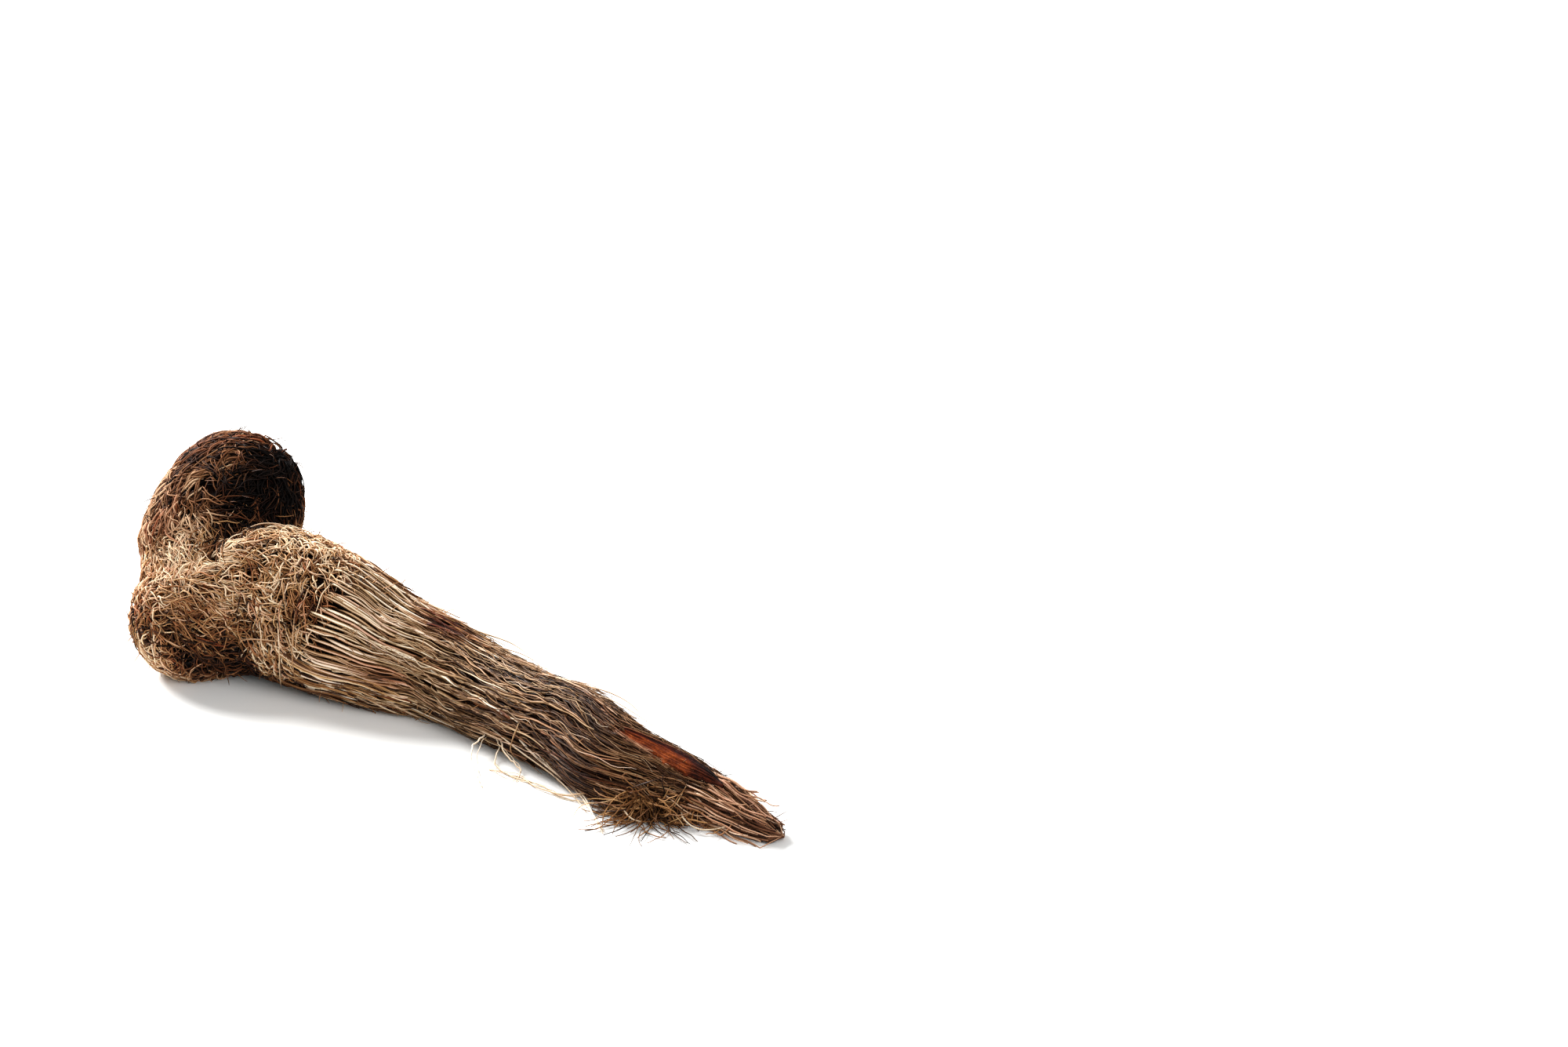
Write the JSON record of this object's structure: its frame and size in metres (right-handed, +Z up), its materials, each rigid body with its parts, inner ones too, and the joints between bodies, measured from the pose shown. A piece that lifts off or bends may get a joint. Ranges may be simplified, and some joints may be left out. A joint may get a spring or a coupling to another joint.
{
  "type": "jatamansi root",
  "caption": "Dried jatamansi root lying on its side: a knotted head with two blunt crowns, a coat of combed fibres narrowing to a wispy tail, and a dried leaf base.",
  "frame": {"origin": "the middle of the bounding box's underside, on the surface that the root lies on", "axes": "+X runs from the knotted head to the wispy tail, +Y points to the root's back as pictured and +Z is up"},
  "size_m": [0.078, 0.0228, 0.0217],
  "materials": {
    "fibre": "matt dried fibre",
    "leaf_base": "dry papery satin"
  },
  "bodies": {
    "root": {"root": "fibre", "leaf_sheath": "leaf_base"}
  },
  "joints": []
}
